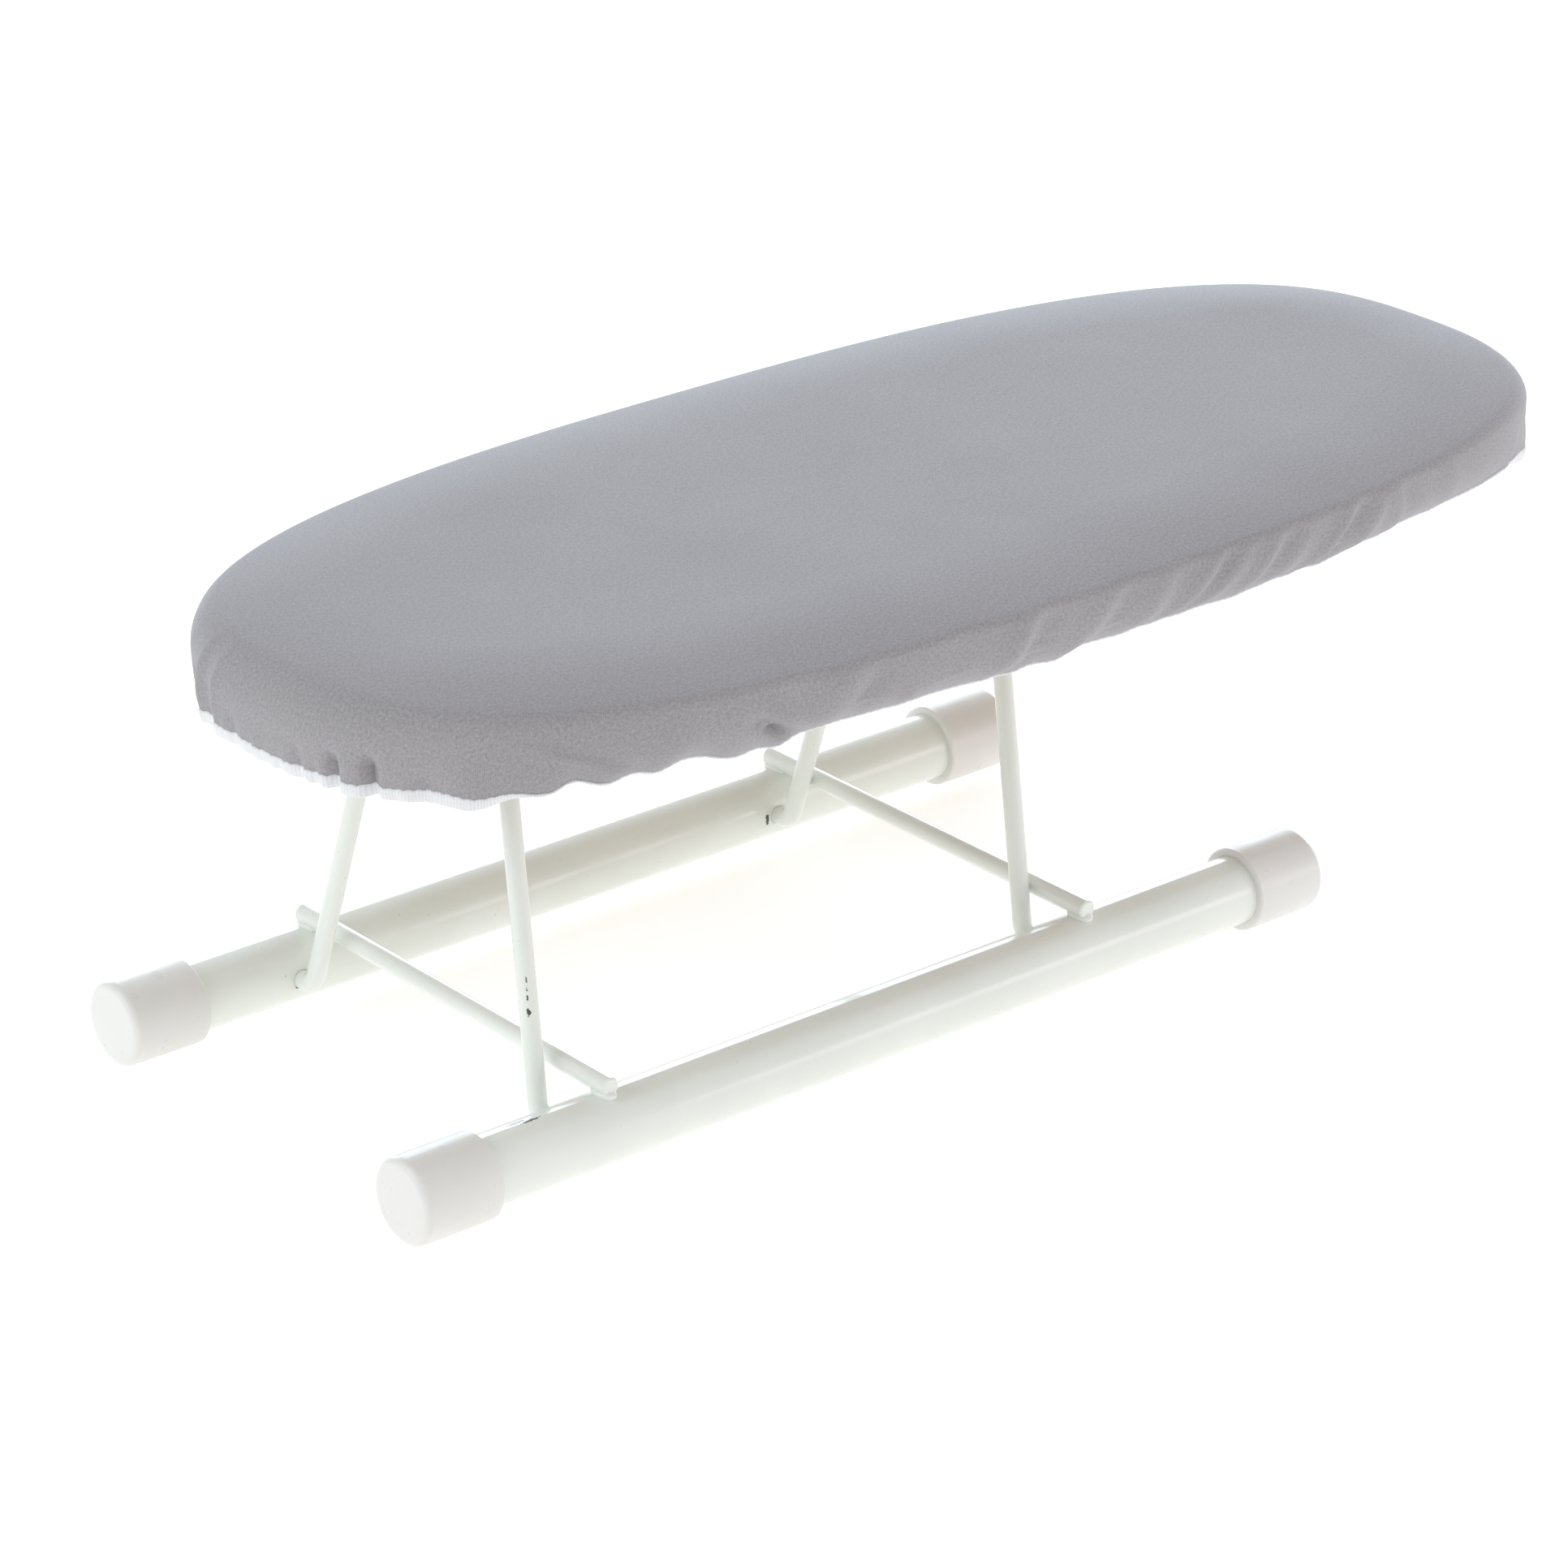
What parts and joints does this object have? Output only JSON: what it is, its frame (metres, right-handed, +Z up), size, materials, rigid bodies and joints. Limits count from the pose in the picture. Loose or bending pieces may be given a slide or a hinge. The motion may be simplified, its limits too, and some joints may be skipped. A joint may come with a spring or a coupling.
{
  "type": "tabletop ironing board",
  "caption": "Small oval ironing board with a gathered grey fabric cover, on a low tubular stand with folding wire legs.",
  "frame": {"origin": "on the table, under the middle of the whole object's box", "axes": "+Z up, +X along the board towards its free (overhanging) end, +Y to the left of a person who looks that way"},
  "size_m": [0.4815, 0.2112, 0.149],
  "materials": {
    "rail_paint": "gloss paint, pale green-white",
    "wire_paint": "gloss paint, pale green-white",
    "cap_plastic": "satin moulded plastic, warm ivory",
    "fibreboard": "raw fibreboard",
    "zinc_steel": "zinc plated",
    "felt": "needled felt",
    "cover_fabric": "woven cotton, fine diagonal twill",
    "white_elastic": "overlocked elastic hem"
  },
  "bodies": {
    "base": {"right_rail": "rail_paint", "left_rail": "rail_paint", "back_right_cap": "cap_plastic", "back_left_cap": "cap_plastic", "front_right_cap": "cap_plastic", "front_left_cap": "cap_plastic", "back_cross_wire": "wire_paint", "front_cross_wire": "wire_paint", "cross_wire_welds": "wire_paint"},
    "back_leg": {"back_leg": "wire_paint"},
    "board": {"deck": "fibreboard", "back_right_saddle": "zinc_steel", "back_left_saddle": "zinc_steel", "front_right_saddle": "zinc_steel", "front_left_saddle": "zinc_steel", "saddle_screws": "zinc_steel", "felt_pad": "felt", "cover": "cover_fabric", "hem_elastic": "white_elastic"},
    "front_leg": {"front_leg": "wire_paint"}
  },
  "joints": [
    {"name": "back_leg_fold", "type": "hinge", "parent": "base", "child": "back_leg", "pos_m": [-0.17875, 0, 0.0134], "axis": [0, -1, 0], "range_deg": [0, 83]},
    {"name": "board_fold", "type": "hinge", "parent": "back_leg", "child": "board", "pos_m": [-0.16694, 0, 0.1317], "axis": [0, -1, 0], "range_deg": [-83, 0]},
    {"name": "front_leg_fold", "type": "hinge", "parent": "base", "child": "front_leg", "pos_m": [0.00925, 0, 0.0134], "axis": [0, -1, 0], "range_deg": [0, 83]}
  ],
  "couplings": [
    {"joint": "board_fold", "follows": "back_leg_fold", "ratio": -1},
    {"joint": "front_leg_fold", "follows": "back_leg_fold", "ratio": 1}
  ]
}
